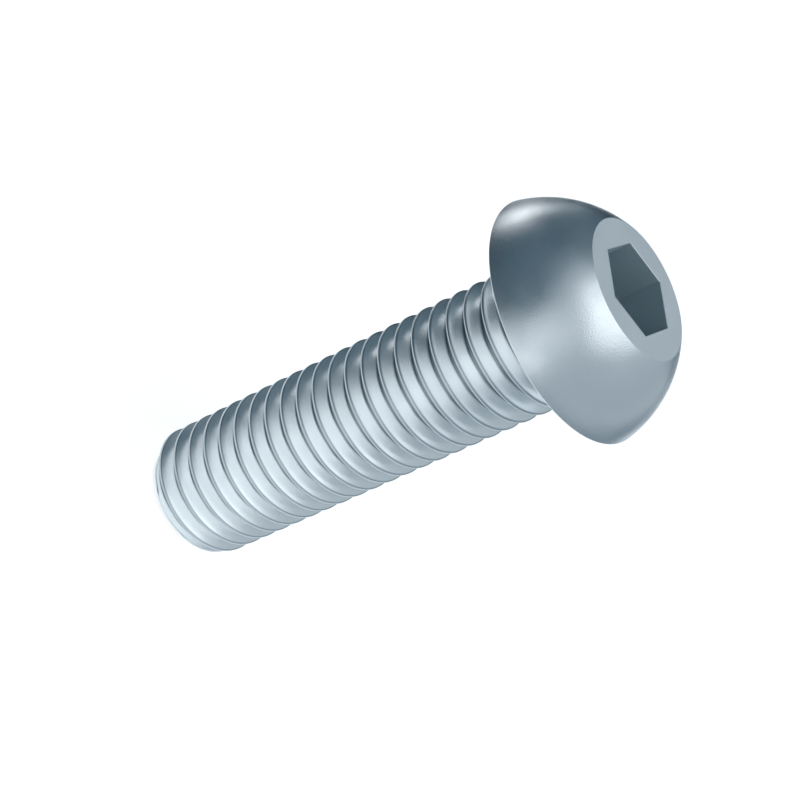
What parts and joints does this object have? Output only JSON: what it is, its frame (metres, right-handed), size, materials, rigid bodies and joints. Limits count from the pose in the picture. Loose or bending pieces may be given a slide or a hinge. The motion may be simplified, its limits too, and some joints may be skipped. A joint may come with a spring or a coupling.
{
  "type": "button head socket screw",
  "caption": "Button head screw with a hexagon socket, a metric thread that runs up to the head and a chamfered flat tip.",
  "frame": {"origin": "centre of the bearing face under the head, on the screw's axis", "axes": "+Z along the screw's axis towards the head, +X through one corner of the hexagon socket"},
  "size_m": [0.0175, 0.0174, 0.0405],
  "materials": {
    "zinc_plated_steel": "zinc plated and blue passivated, satin"
  },
  "bodies": {
    "root": {"screw": "zinc_plated_steel"}
  },
  "joints": []
}
